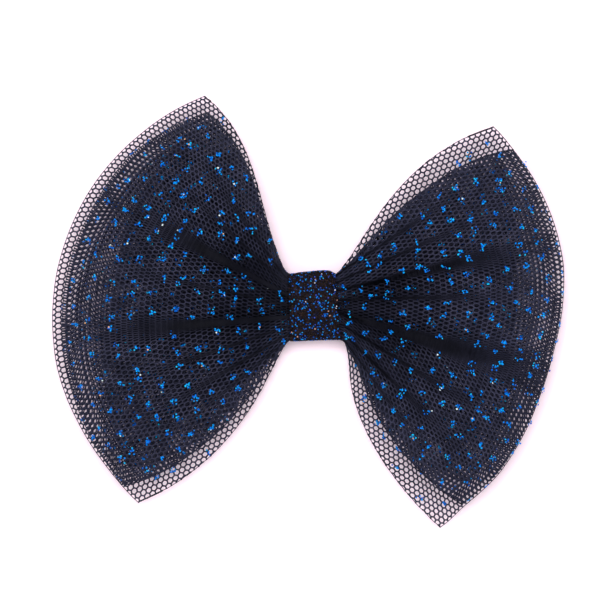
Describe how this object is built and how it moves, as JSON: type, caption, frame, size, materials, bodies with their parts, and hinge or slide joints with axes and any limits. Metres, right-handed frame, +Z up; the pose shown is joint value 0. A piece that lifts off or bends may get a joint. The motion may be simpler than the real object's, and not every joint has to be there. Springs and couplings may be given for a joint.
{
  "type": "hair bow",
  "caption": "Cheer hair bow of gathered glitter tulle loops with a glitter fabric band, on a ribbon-lined alligator clip.",
  "frame": {"origin": "in the clip's mouth, on the inner face of the lined top arm, behind the middle of the centre band", "axes": "+X along the bow's width and the clip, to the right seen from the front; +Y backwards, out of the clip towards the head; +Z up as worn"},
  "size_m": [0.1261, 0.0249, 0.1066],
  "materials": {
    "tulle": "fine netting with glitter clusters",
    "thread": "twisted sewing thread",
    "glitter_band": "dense fine glitter",
    "hot_glue": "cloudy hot-melt glue",
    "nickel_steel": "bright nickel plate",
    "ribbon": "grosgrain ribbon",
    "spring_wire": "drawn spring wire"
  },
  "bodies": {
    "bow": {"clip_top_arm": "nickel_steel", "arm_ribbon_lining": "ribbon", "hinge_pin": "nickel_steel", "torsion_spring": "spring_wire", "glue_pad": "hot_glue", "gather_thread": "thread", "back_tulle_sheet": "tulle", "outer_tulle_loop": "tulle", "inner_tulle_loop": "tulle", "centre_band": "glitter_band"},
    "jaw": {"clip_toothed_arm": "nickel_steel"}
  },
  "joints": [
    {"name": "jaw_hinge", "type": "hinge", "parent": "bow", "child": "jaw", "pos_m": [0.01, 0.0014, 0], "axis": [0, 0, -1], "range_deg": [0, 28], "stiffness_Nm_per_rad": 0.12, "springref_deg": -28.65, "deforming": ["torsion_spring"]}
  ]
}
